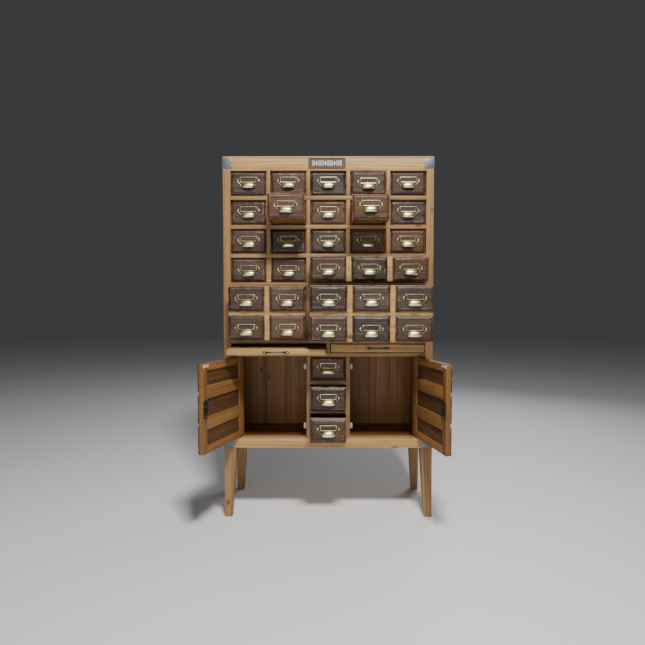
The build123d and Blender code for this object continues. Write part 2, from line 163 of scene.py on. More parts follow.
def board(solids, low, high, along=None, ease=EASE, cut_every=0.09, warp=0.00025):
    """Adds an eased board between two corners, its grain along its longest side unless told."""
    low, high = np.minimum(low, high), np.maximum(low, high)
    size = high - low
    along = int(np.argmax(size)) if along is None else along
    cuts = tuple(int(s / cut_every) for s in size)
    verts, faces = eased_box(size, ease, cuts)
    grain = grain_of(verts, along)
    middle = (low + high) / 2
    seed = Vector((draw.uniform(-50, 50), draw.uniform(-50, 50), draw.uniform(-50, 50)))
    if warp:
        shifts = np.array([noise.noise_vector(Vector(v) * 9 + seed) for v in verts])
        verts = verts - np.abs(shifts) * np.sign(verts) * warp
    solids.add(verts + middle, faces, grain)


def loop_points(width, height, inset, spacing=0.0065):
    """A rectangle's outline, corners included, with points at the same shares for every inset."""
    w, h = width - 2 * inset, height - 2 * inset
    n, m = max(2, round(width / spacing)), max(2, round(height / spacing))
    across = np.linspace(-0.5, 0.5, n + 1)[:-1]
    up = np.linspace(-0.5, 0.5, m + 1)[:-1]
    sides = [np.stack([across * w, np.full(n, -h / 2)], 1), np.stack([np.full(m, w / 2), up * h], 1),
             np.stack([-across * w, np.full(n, h / 2)], 1), np.stack([np.full(m, -w / 2), -up * h], 1)]
    return np.concatenate(sides)


def raised_front(solids, width, height, edge, bevel, place, rough=1.0):
    """Adds a bevelled front with hand-worn edges. place takes local x, z and outward to the frame."""
    full = edge + bevel
    slope = bevel / BEVEL_WIDTH
    profile = [  # inset, height above the back, how worn
        (0.0006, 0.0, 0.3), (0.0, 0.0006, 0.5), (0.0, edge - 0.0016, 0.6), (0.0003, edge - 0.0004, 1.0),
        (0.0014, edge + 0.0012 * slope, 1.0), (0.0045, edge + 0.0045 * slope, 0.25),
        (BEVEL_WIDTH - 0.0035, full - 0.0035 * slope, 0.2),
        (BEVEL_WIDTH - 0.0012, full - 0.0012 * slope, 0.5),
        (BEVEL_WIDTH - 0.0002, full - 0.0003, 0.8), (BEVEL_WIDTH + 0.0010, full, 0.6),
        (BEVEL_WIDTH + 0.0040, full, 0.1), (BEVEL_WIDTH + 0.012, full, 0.0),
        (BEVEL_WIDTH + 0.022, full, 0.0), (height / 2 - 0.006, full, 0.0)]
    seed = Vector((draw.uniform(-50, 50), draw.uniform(-50, 50), draw.uniform(-50, 50)))
    verts, wear = [], []
    for inset, rise, worn in profile:
        for x, z in loop_points(width, height, inset):
            near = min(1.0, worn * 1.2)
            wobble = noise.noise(Vector((x * 38, z * 38, rise * 30)) + seed)
            chip = max(0.0, noise.noise(Vector((x * 110, z * 110, 3.0)) + seed) - 0.28)
            pull_in = (0.0004 + 0.0006 * wobble + 0.0042 * chip) * near * rough
            shrink = 1 - pull_in / max(abs(x), 0.02), 1 - pull_in / max(abs(z), 0.02)
            sunk = (0.00035 * wobble + 0.0018 * chip * near) * rough if rise > edge * 0.5 else 0.0
            verts.append((x * shrink[0], z * shrink[1], max(0.0, min(full, rise - max(0.0, sunk)))))
            wear.append(min(1.0, worn * (0.75 + 0.5 * wobble) + 1.2 * chip * near))
    ring = len(verts) // len(profile)
    faces = [(a * ring + i, a * ring + (i + 1) % ring, (a + 1) * ring + (i + 1) % ring, (a + 1) * ring + i)
             for a in range(len(profile) - 1) for i in range(ring)]
    faces.append(tuple(range(ring))[::-1])
    last = (len(profile) - 1) * ring
    faces.append(tuple(last + i for i in range(ring)))
    local = np.array(verts)
    solids.add([place(*v) for v in local], faces, grain_of(local, 0), wear)


def rectangle(x, z, width, height, radius):
    """A rectangle's outline about its middle, with rounded corners."""
    left, right, foot, head = x - width / 2, x + width / 2, z - height / 2, z + height / 2
    return rounded([(left, foot), (right, foot), (right, head), (left, head)], radius, 3)


def facing(x, y, z):
    """Places a front's local x, z and outward at a point whose outward side is -Y."""
    return lambda across, up, out: (x + across, y - out, z + up)


def lathe(profile, sides=20):
    """Turns (radius, height) pairs about the local outward axis."""
    verts, faces = [], []
    for radius, rise in profile:
        for i in range(sides):
            turn = 2 * math.pi * i / sides
            verts.append((radius * math.cos(turn), radius * math.sin(turn), rise))
    for a in range(len(profile) - 1):
        for i in range(sides):
            j = (i + 1) % sides
            faces.append((a * sides + i, a * sides + j, (a + 1) * sides + j, (a + 1) * sides + i))
    faces.append(tuple(range(sides))[::-1])
    faces.append(tuple((len(profile) - 1) * sides + i for i in range(sides)))
    return np.array(verts), faces


def tube(points, radius, closed=False, sides=8):
    """A round bar along points, its radius a number or one for each point."""
    points = [Vector(p) for p in points]
    count = len(points)
    radii = [radius] * count if isinstance(radius, float) else list(radius)
    verts, faces = [], []
    normal = None
    for i, p in enumerate(points):
        before = points[i - 1] if (i or closed) else p
        after = points[(i + 1) % count] if (i < count - 1 or closed) else p
        along = (after - before).normalized()
        if normal is None:
            normal = along.orthogonal().normalized()
        normal = (normal - along * normal.dot(along)).normalized()
        side = along.cross(normal)
        for k in range(sides):
            turn = 2 * math.pi * k / sides
            verts.append(p + (normal * math.cos(turn) + side * math.sin(turn)) * radii[i])
    for i in range(count if closed else count - 1):
        j = (i + 1) % count
        for k in range(sides):
            m = (k + 1) % sides
            faces.append((i * sides + k, i * sides + m, j * sides + m, j * sides + k))
    if not closed:
        faces.append(tuple(range(sides)))
        faces.append(tuple((count - 1) * sides + k for k in range(sides))[::-1])
    return np.array([tuple(v) for v in verts]), faces


def plate(outlines, thick, soft):
    """A flat plate cut to closed outlines, holes among them, with softened edges, lying on w = 0."""
    curve = bpy.data.curves.new("outline", "CURVE")
    curve.dimensions = "2D"
    curve.fill_mode = "BOTH"
    curve.extrude = thick / 2 - soft
    curve.bevel_depth = soft
    curve.bevel_resolution = 1
    curve.offset = -soft
    for outline in outlines:
        spline = curve.splines.new("POLY")
        spline.points.add(len(outline) - 1)
        for point, (x, y) in zip(spline.points, outline):
            point.co = (x, y, 0, 1)
        spline.use_cyclic_u = True
    holder = bpy.data.objects.new("outline", curve)
    bpy.context.scene.collection.objects.link(holder)
    bpy.context.view_layer.update()
    mesh = bpy.data.meshes.new_from_object(holder)
    verts = np.array([tuple(v.co) for v in mesh.vertices])
    verts[:, 2] += thick / 2
    faces = [tuple(p.vertices) for p in mesh.polygons]
    bpy.data.objects.remove(holder)
    bpy.data.curves.remove(curve)
    bpy.data.meshes.remove(mesh)
    return verts, faces


def arc(cx, cy, radius, start, end, count):
    """Points of an arc, angles in degrees."""
    turns = np.radians(np.linspace(start, end, count))
    return [(cx + radius * math.cos(t), cy + radius * math.sin(t)) for t in turns]


def rounded(corners, radius, count=4):
    """A closed outline with its corners rounded."""
    points = []
    size = len(corners)
    for i, corner in enumerate(corners):
        p = Vector(corner)
        before, after = Vector(corners[i - 1]) - p, Vector(corners[(i + 1) % size]) - p
        reach = min(radius, before.length * 0.45, after.length * 0.45)
        start, end = p + before.normalized() * reach, p + after.normalized() * reach
        for step in range(count + 1):
            t = step / count
            points.append(tuple((1 - t) ** 2 * start + 2 * t * (1 - t) * p + t * t * end))
    return points


# --- materials ------------------------------------------------------------------------------
class Shader:
    """A material under construction: nodes are made by kind and joined by naming their inputs."""

    def __init__(self, name):
        self.material = bpy.data.materials.new(name)
        self.material.use_nodes = True
        self.tree = self.material.node_tree
        self.surface = self.tree.nodes["Principled BSDF"]
        attribute = self.node("ShaderNodeAttribute", attribute_name="grain")
        self.grain = attribute.outputs["Vector"]
        self.worn = self.node("ShaderNodeAttribute", attribute_name="wear").outputs["Fac"]

    def node(self, kind, inputs=None, **settings):
        made = self.tree.nodes.new(kind)
        for key, value in settings.items():
            setattr(made, key, value)
        for key, value in (inputs or {}).items():
            if isinstance(value, bpy.types.NodeSocket):
                self.tree.links.new(value, made.inputs[key])
            else:
                made.inputs[key].default_value = value
        return made

    def math(self, operation, a, b=0.0, c=0.0, clamp=False):
        inputs = {0: a, 1: b, 2: c}
        return self.node("ShaderNodeMath", inputs, operation=operation, use_clamp=clamp).outputs[0]

    def vector(self, operation, a, b=(0, 0, 0)):
        made = self.node("ShaderNodeVectorMath", {0: a, 1: b}, operation=operation)
        return made.outputs["Value" if operation == "LENGTH" else "Vector"]

    def noise(self, scale, detail=2.0, rough=0.5, source=None, distortion=0.0):
        """Noise of the grain coordinates stretched by a scale for each axis."""
        stretched = self.vector("MULTIPLY", source or self.grain, scale)
        inputs = {"Vector": stretched, "Scale": 1.0, "Detail": detail, "Roughness": rough,
                  "Distortion": distortion}
        return self.node("ShaderNodeTexNoise", inputs).outputs["Fac"]

    def ramp(self, factor, stops):
        """A colour ramp; each stop is a position and a colour or a grey level."""
        made = self.node("ShaderNodeValToRGB", {"Fac": factor})
        line = made.color_ramp
        while len(line.elements) < len(stops):
            line.elements.new(0.5)
        for element, (at, value) in zip(line.elements, stops):
            element.position = at
            element.color = (value, value, value, 1) if isinstance(value, (int, float)) else (*value, 1)
        return made.outputs["Color"]

    def mix(self, factor, a, b, blend="MIX"):
        made = self.node("ShaderNodeMix", data_type="RGBA", blend_type=blend)
        sockets = [s for s in made.inputs if s.enabled]
        for socket, value in zip(sockets, (factor, a, b)):
            if isinstance(value, bpy.types.NodeSocket):
                self.tree.links.new(value, socket)
            elif isinstance(value, tuple):
                socket.default_value = (*value, 1)
            else:
                socket.default_value = value
        return [s for s in made.outputs if s.enabled][0]

    def spread(self, factor, low, high):
        """Stretches a 0 to 1 value over a range."""
        return self.node("ShaderNodeMapRange", {"Value": factor, "To Min": low, "To Max": high}).outputs[0]

    def bump(self, height, strength, distance=0.001):
        made = self.node("ShaderNodeBump", {"Height": height, "Strength": strength, "Distance": distance})
        self.tree.links.new(made.outputs["Normal"], self.surface.inputs["Normal"])

    def set(self, **values):
        for key, value in values.items():
            socket = self.surface.inputs[key.replace("_", " ")]
            if isinstance(value, bpy.types.NodeSocket):
                self.tree.links.new(value, socket)
            else:
                socket.default_value = (*value, 1) if isinstance(value, tuple) else value


def growth_rings(shader, gap):
    """Year rings about a pith beside the board, bent by slow noise: 0 in spring wood, 1 in late."""
    bend = shader.noise((1.1, 7.0, 7.0), detail=1.5)
    sway = shader.math("MULTIPLY", shader.math("SUBTRACT", bend, 0.5), 0.03)
    split = shader.node("ShaderNodeSeparateXYZ", {0: shader.grain})
    across = shader.math("ADD", split.outputs[1], sway)
    flat = shader.node("ShaderNodeCombineXYZ", {1: across, 2: split.outputs[2]})
    radius = shader.vector("LENGTH", flat.outputs[0])
    phase = shader.math("FRACT", shader.math("MULTIPLY", radius, 1 / gap))
    return shader.ramp(phase, [(0.0, 0.12), (0.45, 0.3), (0.86, 1.0), (0.97, 0.25), (1.0, 0.12)])


def knots(shader, share):
    """1 inside the few knots, fading over a halo. share is how many cells hold one."""
    cells = shader.vector("MULTIPLY", shader.grain, (13, 19, 19))
    made = shader.node("ShaderNodeTexVoronoi", {"Vector": cells, "Scale": 1.0})
    lot = shader.node("ShaderNodeSeparateXYZ", {0: made.outputs["Color"]}).outputs[0]
    chosen = shader.math("LESS_THAN", lot, share)
    stops = [(0.0, 0.75), (0.10, 1.0), (0.17, 0.85), (0.2, 0.25), (0.34, 0.0)]
    core = shader.ramp(made.outputs["Distance"], stops)
    return shader.math("MULTIPLY", core, chosen)


def pine(name, pale, warm, late, share=0.06):
    """Waxed pine: growth rings, broad colour drift, fine fibres and a few brown knots."""
    shader = Shader(name)
    rings = growth_rings(shader, 0.0075)
    drift = shader.ramp(shader.noise((0.8, 4.5, 4.5), detail=3), [(0.3, 0.0), (0.7, 1.0)])
    streak = shader.noise((2.2, 75, 75), detail=3, rough=0.6)
    fibre = shader.noise((9, 420, 420), detail=2)
    knot = knots(shader, share)
    body = shader.mix(drift, pale, warm)
    body = shader.mix(shader.math("MULTIPLY", rings, 0.62), body, late)
    body = shader.mix(shader.ramp(streak, [(0.38, 0.0), (0.62, 0.5)]), body, late)
    body = shader.mix(shader.ramp(fibre, [(0.45, 0.0), (0.7, 0.25)]), body, tuple(0.55 * c for c in late))
    grime = shader.ramp(shader.noise((3, 16, 16), detail=5, rough=0.65), [(0.55, 0.0), (0.75, 0.4)])
    body = shader.mix(grime, body, tuple(0.5 * c for c in late))
    body = shader.mix(shader.math("MULTIPLY", knot, 0.85), body, (0.075, 0.028, 0.010))
    shader.set(Base_Color=body, Roughness=shader.spread(streak, 0.42, 0.66), Specular_IOR_Level=0.35)
    height = shader.math("ADD", shader.math("MULTIPLY", fibre, 0.6), shader.math("MULTIPLY", rings, 0.5))
    shader.bump(height, 0.22, 0.0006)
    return shader.material


def stained(name, dark, brown, grey, worn_colour):
    """Old wood stained dark: each board its own tone, with faded patches, streaks and worn edges."""
    shader = Shader(name)
    tone = shader.noise((0.9, 0, 0), detail=0)
    patch = shader.ramp(shader.noise((1.6, 7, 7), detail=4, rough=0.6), [(0.36, 0.0), (0.62, 1.0)])
    faded = shader.ramp(shader.noise((2.6, 10, 10), detail=5, rough=0.65), [(0.46, 0.0), (0.7, 1.0)])
    streak = shader.noise((3.5, 120, 120), detail=4, rough=0.65)
    fibre = shader.noise((14, 520, 520), detail=2)
    rings = growth_rings(shader, 0.006)
    body = shader.mix(shader.ramp(tone, [(0.40, 0.0), (0.60, 1.0)]), dark, brown)
    body = shader.mix(shader.math("MULTIPLY", patch, 0.28), body, brown)
    body = shader.mix(shader.math("MULTIPLY", faded, 0.5), body, grey)
    body = shader.mix(shader.ramp(streak, [(0.35, 0.65), (0.5, 0.0)]), body, tuple(0.35 * c for c in dark))
    body = shader.mix(shader.ramp(streak, [(0.56, 0.0), (0.75, 0.6)]), body, tuple(1.9 * c for c in grey))
    body = shader.mix(shader.math("MULTIPLY", rings, 0.35), body, tuple(0.5 * c for c in dark))
    rub = shader.noise((22, 42, 42), detail=5, rough=0.7)
    handled = shader.spread(shader.noise((7, 13, 13), detail=2), 0.1, 1.5)
    worn = shader.math("MULTIPLY", shader.worn, handled)
    edge = shader.ramp(shader.math("ADD", worn, shader.math("MULTIPLY", rub, 0.9)), [(0.95, 0.0), (1.4, 1.0)])
    body = shader.mix(shader.math("MULTIPLY", edge, 0.62), body, worn_colour)
    scuff = shader.ramp(shader.noise((11, 62, 62), detail=6, rough=0.75), [(0.64, 0.0), (0.76, 0.45)])
    body = shader.mix(scuff, body, tuple(0.55 * c for c in worn_colour))
    shader.set(Base_Color=body, Roughness=shader.spread(streak, 0.36, 0.62), Specular_IOR_Level=0.3,
               Coat_Weight=0.06, Coat_Roughness=0.3)
    height = shader.math("ADD", shader.math("MULTIPLY", streak, 1.0), shader.math("MULTIPLY", fibre, 0.4))
    shader.bump(height, 0.4, 0.0009)
    return shader.material


def metal(name, bright, dull, smooth, matt, patina=0.5, metallic=1.0, pits=0.15):
    """Handled metal: bright where it is rubbed, duller and rougher where wear is low or grime sits."""
    shader = Shader(name)
    cloud = shader.noise((60, 60, 60), detail=5, rough=0.6)
    fine = shader.noise((900, 900, 900), detail=2)
    grime = shader.ramp(shader.math("ADD", shader.worn, shader.math("MULTIPLY", cloud, patina)),
                        [(0.35 + patina * 0.3, 0.0), (1.0, 1.0)])
    shader.set(Base_Color=shader.mix(grime, bright, dull), Roughness=shader.spread(grime, smooth, matt),
               Metallic=metallic)
    shader.bump(shader.math("ADD", cloud, shader.math("MULTIPLY", fine, 0.3)), pits, 0.0006)
    return shader.material


PINE = pine("pine", (0.60, 0.41, 0.175), (0.47, 0.275, 0.095), (0.25, 0.115, 0.035), share=0.2)
# This darker copy of the pine, for the sides, shelves, dividers, partitions and legs, is a shaded copy of the
# lit pine above: its darkness is painted shade of parts that sit in shadow.
PINE_FRAME_SHADED = pine("frame_pine", (0.42, 0.265, 0.112), (0.30, 0.162, 0.058), (0.155, 0.068, 0.022), share=0.2)
# This darker, browner copy of the pine serves the door frames, drawer boxes, cupboard floor and back planks; on
# the drawer boxes and inside the cupboard its darkness is painted shade.
PINE_BROWN_AND_SHADE = pine("door_pine", (0.36, 0.19, 0.062), (0.26, 0.12, 0.034), (0.13, 0.05, 0.014), share=0.06)
PANEL = pine("door_panel", (0.17, 0.082, 0.028), (0.10, 0.045, 0.016), (0.035, 0.016, 0.007), share=0.08)
DARK = stained("dark_fronts", (0.012, 0.009, 0.009), (0.100, 0.042, 0.019), (0.100, 0.082, 0.070),
               (0.34, 0.21, 0.12))
BRASS = metal("aged_brass", (0.78, 0.70, 0.42), (0.060, 0.050, 0.030), 0.34, 0.6, patina=0.6)
STEEL = metal("bracket_steel", (0.13, 0.145, 0.165), (0.045, 0.05, 0.058), 0.5, 0.72,
              patina=0.9, metallic=0.8, pits=0.35)
IRON = metal("black_iron", (0.055, 0.052, 0.05), (0.018, 0.017, 0.016), 0.34, 0.6, metallic=0.7, pits=0.4)
NAIL = metal("nail_steel", (0.55, 0.54, 0.5), (0.16, 0.15, 0.14), 0.3, 0.55)
STRIKE = metal("strike_steel", (0.90, 0.92, 0.94), (0.66, 0.68, 0.70), 0.3, 0.5, metallic=0.6)
CATCH = metal("catch_zinc", (0.30, 0.31, 0.31), (0.16, 0.165, 0.17), 0.45, 0.62, metallic=0.4)


def cast_plate():
    """Dark bronzed casting whose raised relief is rubbed nearly white."""
    shader = Shader("bronze_plate")
    rub = shader.noise((300, 300, 300), detail=4, rough=0.7)
    rubbed = shader.ramp(shader.math("ADD", shader.worn, shader.math("MULTIPLY", rub, 0.5)),
                         [(0.85, 0.0), (1.2, 1.0)])
    ground = shader.mix(shader.noise((80, 80, 80), detail=3), (0.035, 0.02, 0.016), (0.085, 0.055, 0.045))
    shader.set(Base_Color=shader.mix(rubbed, ground, (0.62, 0.58, 0.54)),
               Roughness=shader.spread(rub, 0.42, 0.65), Metallic=0.25)
    shader.bump(rub, 0.4, 0.0005)
    return shader.material


CAST = cast_plate()


# --- fittings -------------------------------------------------------------------------------
PULL_TOP = 0.02425          # above the pull's middle
PULL_LOW = -0.030           # straight lip of the cup
CUP_HALF = 0.033            # half the cup's length, and its radius about an axis at CUP_MIDDLE
CUP_RADIUS = 0.017
CUP_MIDDLE = -0.0205
CUP_WALL = 0.0012
EAR = 0.049                 # screws, from the middle
EAR_RISE = 0.0045
SCREW_HEAD = [(0.0034, 0.0), (0.0034, 0.0004), (0.0028, 0.0011), (0.0016, 0.0015), (0.0004, 0.0016)]
PLATE_THICK = 0.0015
WINDOW = (0.069, 0.019)     # opening for the card
WINDOW_MIDDLE = 0.0093
CARD_FRAME = (0.073, 0.023)             # middle line of the raised frame round it
FRAME_MIDDLE = 0.0097
PULL_RISE_HIGH = 0.009      # pulls sit less and less above their fronts' middles, from the rail down
PULL_RISE_LOW = -0.006
PULL_RISE = 0.004           # on the doors


def cup_girth(x, radius, half):
    """Radius of the round-ended cup at a distance from its middle."""
    return radius * max(0.0, 1 - abs(x / half) ** 2.5) ** (1 / 2.3)


def cup_shell():
    """The cup: outer and inner skins turned about its long axis, open below the lip."""
    rows, columns = 14, 34
    drop = CUP_MIDDLE - PULL_LOW
    verts, faces = [], []
    for wall in (0.0, CUP_WALL):
        radius, half = CUP_RADIUS - wall, CUP_HALF - wall
        for j in range(columns + 1):
            x = half * math.sin(math.pi / 2 * (2 * j / columns - 1))
            girth = max(cup_girth(x, radius, half), 0.0004)
            last = math.pi / 2 + math.asin(min(1.0, drop / girth))
            for i in range(rows + 1):
                turn = last * i / rows
                verts.append((x, CUP_MIDDLE + girth * math.cos(turn), girth * math.sin(turn)))
    ring = rows + 1
    skin = (columns + 1) * ring
    for base in (0, skin):
        for j in range(columns):
            for i in range(rows):
                a = base + j * ring + i
                faces.append((a, a + 1, a + ring + 1, a + ring))
    for j in range(columns):
        for i in (0, rows):
            a = j * ring + i
            faces.append((a, a + ring, skin + a + ring, skin + a))
    return np.array(verts), faces


def pull_parts():
    """The pull's pieces about its own middle: x, z and outward, and how dull each one is."""
    corners = [(0.0320, PULL_LOW), (0.0370, -0.0170), (0.0455, -0.0045), (0.0530, -0.0010), (0.0545, 0.0045),
               (0.0530, 0.0100), (0.0455, 0.0130), (0.0400, PULL_TOP)]
    left = [(-x, z) for x, z in reversed(corners)]
    outer = rounded(corners, 0.0025, 3)[4:] + rounded(left, 0.0025, 3)[:-4]
    drop = CUP_MIDDLE - PULL_LOW
    lip_half = next(x for x in np.linspace(CUP_HALF, 0, 200) if cup_girth(x, CUP_RADIUS, CUP_HALF) > drop)
    across = np.linspace(-CUP_HALF + 0.001, CUP_HALF - 0.001, 31)
    arch = [(x, CUP_MIDDLE + cup_girth(x, CUP_RADIUS, CUP_HALF) - CUP_WALL) for x in across]
    window = rectangle(0, WINDOW_MIDDLE, *WINDOW, 0.0015)
    body = [corners[0]] + outer + [left[-1], (-lip_half, PULL_LOW)] + arch + [(lip_half, PULL_LOW)]
    parts = [(*plate([body, window], PLATE_THICK, 0.0003), 1.1)]
    rim = [(x * 0.975, z * 0.965, PLATE_THICK) for x, z in outer]
    parts.append((*tube(rim, 0.0010), 0.45))
    frame_line = rectangle(0, FRAME_MIDDLE, *CARD_FRAME, 0.003)
    parts.append((*tube([(x, z, PLATE_THICK + 0.0002) for x, z in frame_line], 0.0012, closed=True), 0.2))
    parts.append((*cup_shell(), 0.05))
    lip = []
    for x in np.linspace(-lip_half, lip_half, 27):
        girth = cup_girth(x, CUP_RADIUS, CUP_HALF) - CUP_WALL / 2
        lip.append((x, PULL_LOW + 0.0008, math.sqrt(max(0.0, girth ** 2 - drop ** 2))))
    parts.append((*tube(lip, 0.0009), 0.0))
    for side in (-1, 1):
        head, faces = lathe(SCREW_HEAD, 16)
        parts.append((head + np.array([side * EAR, EAR_RISE, PLATE_THICK]), faces, 0.25))
        # The slot is a thin dark bar standing on the screw head, not cut into it: its dark, dull colour is
        # painted shade of the slot.
        slot, faces = eased_box((0.0052, 0.0007, 0.0006), 0.0001)
        tilt = Matrix.Rotation(draw.uniform(0, math.pi), 3, "Z")
        slot = slot @ np.array(tilt).T
        parts.append((slot + np.array([side * EAR, EAR_RISE, PLATE_THICK + 0.0015]), faces, 1.0))
    return parts


def add_pull(solids, place):
    """Adds a card-frame pull where place puts it."""
    for verts, faces, dull in pull_parts():
        offset = np.array([draw.uniform(-3, 3) for _ in range(3)])
        solids.add([place(*v) for v in verts], faces, verts + offset, np.full(len(verts), dull))


def add_turned(solids, place, profile, dull=0.3, sides=18):
    """Adds a lathed head, such as a nail or a screw, where place puts it."""
    verts, faces = lathe(profile, sides)
    solids.add([place(*v) for v in verts], faces, verts + draw.uniform(-3, 3), np.full(len(verts), dull))


def nail_head(radius, rise):
    return [(radius, 0.0), (radius, rise * 0.35), (radius * 0.85, rise * 0.7), (radius * 0.5, rise * 0.95),
            (radius * 0.12, rise)]


def bow_handle(solids, place, screws):
    """A slim bow between two leaf-shaped feet, each held by a round-headed screw."""
    half, rise = 0.048, 0.0255
    leaf = [(-0.0120, 0.0), (-0.0085, 0.0052), (-0.0040, 0.0068), (0.0020, 0.0050), (0.0065, 0.0066),
            (0.0100, 0.0030), (0.0120, 0.0), (0.0100, -0.0030), (0.0065, -0.0066), (0.0020, -0.0050),
            (-0.0040, -0.0068), (-0.0085, -0.0052)]
    for side in (-1, 1):
        outline = [(side * x, z) for x, z in leaf][::side]
        verts, faces = plate([rounded(outline, 0.003, 2)], 0.0022, 0.0005)
        verts = verts + np.array([side * half, 0, 0])
        solids.add([place(*v) for v in verts], faces, verts + draw.uniform(-3, 3), np.full(len(verts), 0.4))
        head = nail_head(0.0034, 0.0022)
        add_turned(screws, lambda x, z, out: place(x + side * (half + 0.002), z, out + 0.0020), head, 0.2, 16)
    share = np.linspace(-1, 1, 33)
    path = [(half * 0.93 * s, 0.0012, 0.0018 + (rise - 0.0055) * (1 - abs(s) ** 3.2)) for s in share]
    radii = [0.0024 + 0.0016 * abs(s) ** 2 for s in share]
    verts, faces = tube(path, radii, sides=12)
    solids.add([place(*v) for v in verts], faces, verts + draw.uniform(-3, 3), np.full(len(verts), 0.1))


# --- drawers --------------------------------------------------------------------------------
def drawer_box(solids, low, high, start, height, side, bottom):
    """The two sides, back and bottom of a drawer behind its front."""
    z0, z1, end = low[2], low[2] + height, high[1]
    inner0, inner1 = low[0] + side + JOINT, high[0] - side - JOINT
    board(solids, (low[0], start, z0), (low[0] + side, end, z1))
    board(solids, (high[0] - side, start, z0), (high[0], end, z1))
    board(solids, (inner0, end - side, z0), (inner1, end, z1))
    board(solids, (inner0, start, z0 + 0.006), (inner1, end - side - JOINT, z0 + 0.006 + bottom), along=0)


def small_drawer(node):
    """A small drawer: its bevelled front, its box and its pull."""
    low, high = (np.array(corner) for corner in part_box(node))
    width, height = high[0] - low[0], high[2] - low[2]
    middle_x, middle_z = (low[0] + high[0]) / 2, (low[2] + high[2]) / 2
    back = low[1] + BEVEL_DEPTH + SMALL_EDGE
    front = Solids()
    raised_front(front, width, height, SMALL_EDGE, BEVEL_DEPTH, facing(middle_x, back, middle_z))
    front.piece(f"{node}_front", DARK, node, "dark_fronts", [node])
    box = Solids()
    drawer_box(box, low, high, back + JOINT, 0.096, 0.009, 0.004)
    box.piece(f"{node}_box", PINE_BROWN_AND_SHADE, node, "dark_fronts", [node])
    handle = Solids()
    add_pull(handle, facing(middle_x, low[1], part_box(f"{node}_pull")[1][2] - PULL_TOP))
    handle.piece(f"{node}_pull_brass", BRASS, node, "aged_brass", [f"{node}_pull"])


def column_limits():
    """Left and right edges of the fronts in each column of small drawers."""
    boxes = [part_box(f"drawer_r1c{n + 1}") for n in range(COLUMNS)]
    return [(low[0], high[0]) for low, high in boxes]


def pull_rise(z):
    """How far a pull sits above its front's middle, over the slides."""
    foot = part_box("deep_drawer_left")[0][2] - GAP
    share = (z - foot) / (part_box("drawer_r1c1")[1][2] + GAP - foot)
    return PULL_RISE_LOW + share * (PULL_RISE_HIGH - PULL_RISE_LOW)


def wide_drawer(node, rows, height):
    """A wide or deep drawer: pine front board and box, planted dark fronts, and their pulls."""
    low, high = (np.array(corner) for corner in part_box(node))
    planted_back = low[1] + BEVEL_DEPTH + PLANTED_EDGE
    start = planted_back + BASE_FRONT + JOINT
    box = Solids()
    board(box, (low[0], planted_back + JOINT, low[2]), (high[0], planted_back + BASE_FRONT, high[2]))
    box.piece(f"{node}_front_board", PINE, node, "pine", [node])
    box = Solids()
    drawer_box(box, low, high, start, height, 0.012, 0.006)
    box.piece(f"{node}_box", PINE_BROWN_AND_SHADE, node, "dark_fronts", [node])
    front, handles = Solids(), Solids()
    front_height = (high[2] - low[2] - (rows - 1) * STRIP) / rows
    for row in range(rows):
        middle_z = low[2] + row * (front_height + STRIP) + front_height / 2
        for left, right in column_limits():
            if left < low[0] - 0.001 or right > high[0] + 0.001:
                continue
            middle_x = (left + right) / 2
            raised_front(front, right - left, front_height, PLANTED_EDGE, BEVEL_DEPTH,
                         facing(middle_x, planted_back, middle_z))
            add_pull(handles, facing(middle_x, low[1], middle_z + pull_rise(middle_z)))
    front.piece(f"{node}_planted_fronts", DARK, node, "dark_fronts", [node])
    handles.piece(f"{node}_pulls_brass", BRASS, node, "aged_brass", [f"{node}_pulls"])


SMALL = [f"drawer_r{row}c{n + 1}" for row in (1, 2, 3) for n in range(COLUMNS)]
CENTRE = [f"centre_drawer_{place}" for place in ("top", "middle", "bottom")]
for node in SMALL + CENTRE:
    small_drawer(node)
for node, rows, height in (("wide_drawer_left", 1, 0.096), ("wide_drawer_right", 1, 0.096),
                           ("deep_drawer_left", 2, 0.200), ("deep_drawer_right", 2, 0.200)):
    wide_drawer(node, rows, height)


# --- pull-out slides ------------------------------------------------------------------------
SLIDE_LIP_THICK = 0.020
SLIDE_THICK = 0.027
SLIDE_PLANKS = 3


def slide(node):
    """A pull-out shelf: a lipping along the front, planks behind it, and its bow handle."""
    low, high = (np.array(corner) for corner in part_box(node))
    wood = Solids()
    board(wood, low, (high[0], low[1] + SLIDE_LIP_THICK, high[2]), ease=0.002)
    depth = (high[1] - low[1] - SLIDE_LIP_THICK) / SLIDE_PLANKS
    for n in range(SLIDE_PLANKS):
        start = low[1] + SLIDE_LIP_THICK + n * depth
        end = (high[0], start + depth, low[2] + SLIDE_THICK)
        board(wood, (low[0], start, low[2]), end, along=0, ease=0.0008)
    wood.piece(f"{node}_board", PINE, node, "pine", [node])
    iron, screws = Solids(), Solids()
    place = facing((low[0] + high[0]) / 2, low[1], (low[2] + high[2]) / 2)
    bow_handle(iron, place, screws)
    iron.piece(f"{node}_bow_handle", IRON, node, "dark_iron", [f"{node}_handle"])
    screws.piece(f"{node}_handle_screws", NAIL, node, "dark_iron", [f"{node}_handle"])


for node in ("slide_left", "slide_right"):
    slide(node)


